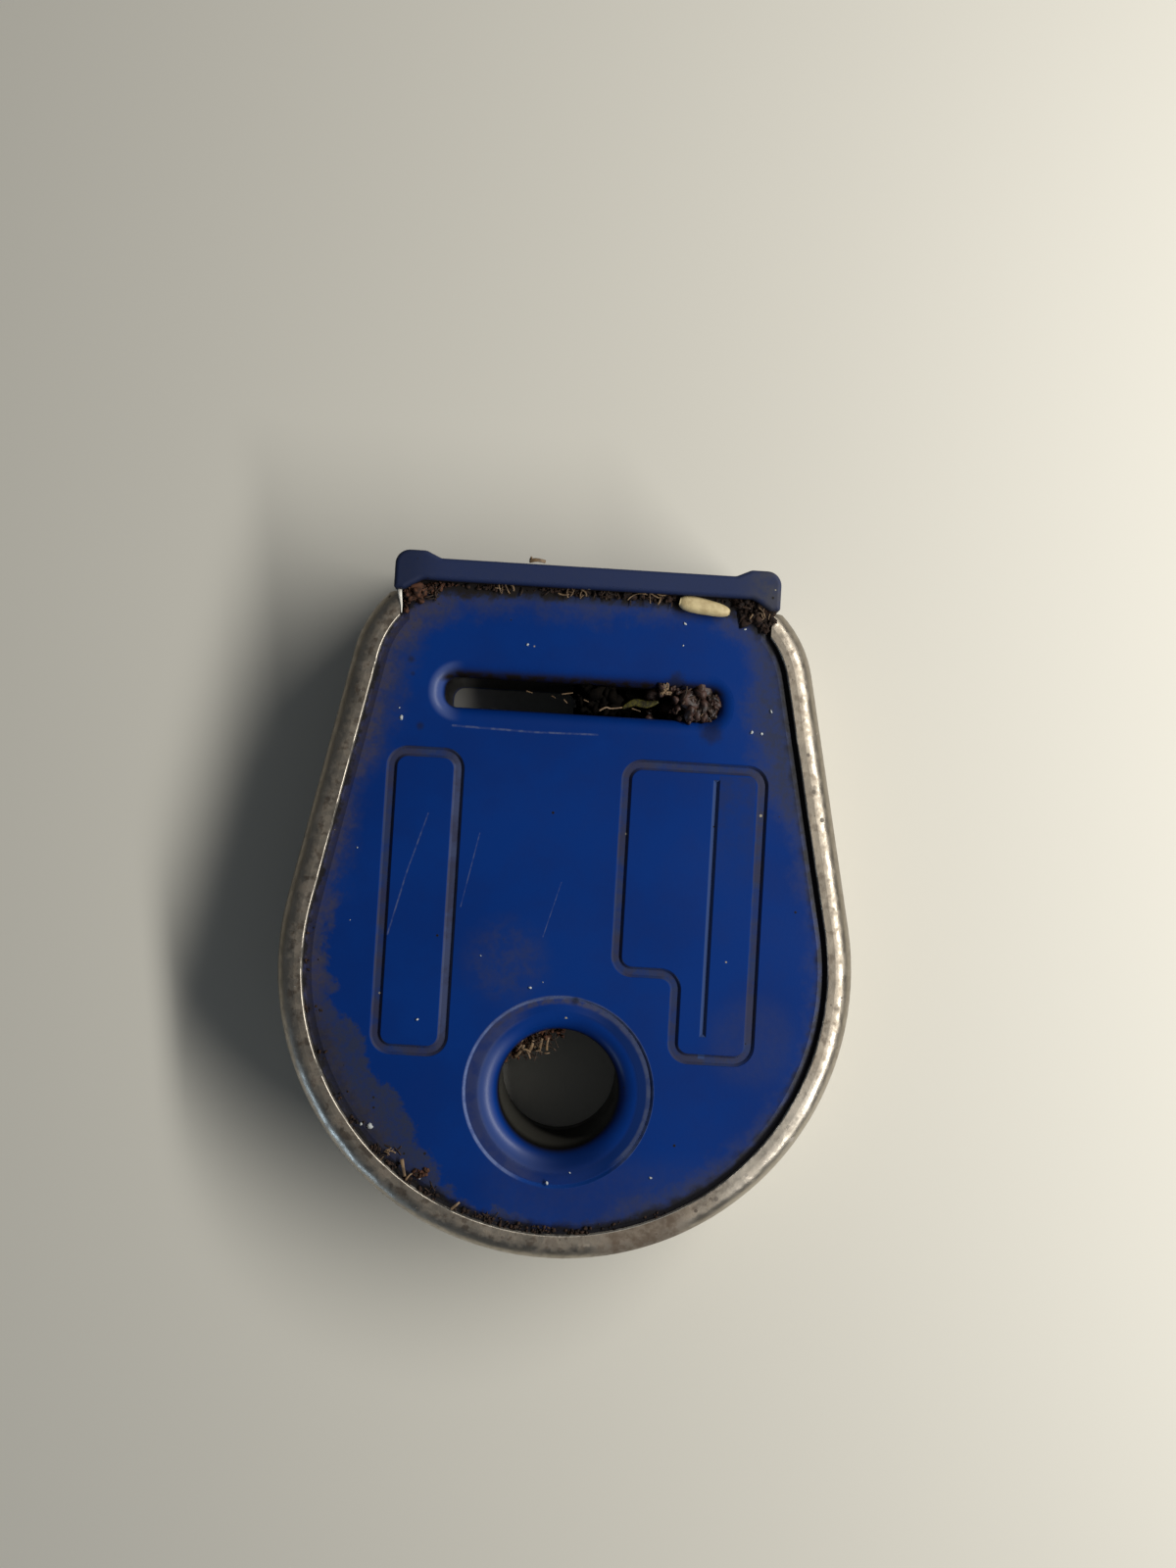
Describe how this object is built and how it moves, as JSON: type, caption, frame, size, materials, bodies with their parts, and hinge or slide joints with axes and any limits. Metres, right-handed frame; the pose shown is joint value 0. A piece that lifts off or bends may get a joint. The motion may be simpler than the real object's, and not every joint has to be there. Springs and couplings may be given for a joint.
{
  "type": "cow collar transponder",
  "caption": "Bell-shaped plastic collar transponder with a steel rim, a flanged end, a strap slot and a round hanging hole.",
  "frame": {"origin": "on the surface it lies on, under the middle of its length and width", "axes": "+X across the front face, +Y from the round end to the flanged end, +Z out of the front face"},
  "size_m": [0.091, 0.11, 0.024],
  "materials": {
    "blue_housing": "moulded blue plastic, dusty and scratched",
    "blue_cover": "moulded blue plastic",
    "rim_steel": "rolled stainless strip, worn and stained",
    "coil_wire": "enamelled copper wire",
    "tie_tape": "winding tape",
    "board_laminate": "glass-fibre laminate",
    "chip_case": "moulded chip case",
    "can_metal": "drawn can",
    "film_case": "dipped film capacitor",
    "diode_case": "moulded case",
    "resistor_case": "chip resistor",
    "solder": "solder",
    "potting": "cast resin"
  },
  "bodies": {
    "root": {"front_housing": "blue_housing", "back_cover": "blue_cover", "steel_rim": "rim_steel", "antenna_coil": "coil_wire", "coil_tie_left": "tie_tape", "coil_tie_right": "tie_tape", "coil_tie_flange": "tie_tape", "coil_tie_round": "tie_tape", "circuit_board": "board_laminate", "transponder_chip": "chip_case", "storage_capacitor": "can_metal", "tuning_capacitor": "film_case", "trimming_capacitor": "film_case", "rectifier_diode_1": "diode_case", "rectifier_diode_2": "diode_case", "rectifier_diode_3": "diode_case", "rectifier_diode_4": "diode_case", "resistor_1": "resistor_case", "resistor_2": "resistor_case", "coil_lead_start": "coil_wire", "coil_lead_finish": "coil_wire", "solder_joint_start": "solder", "solder_joint_finish": "solder", "potting_compound": "potting"}
  },
  "joints": []
}
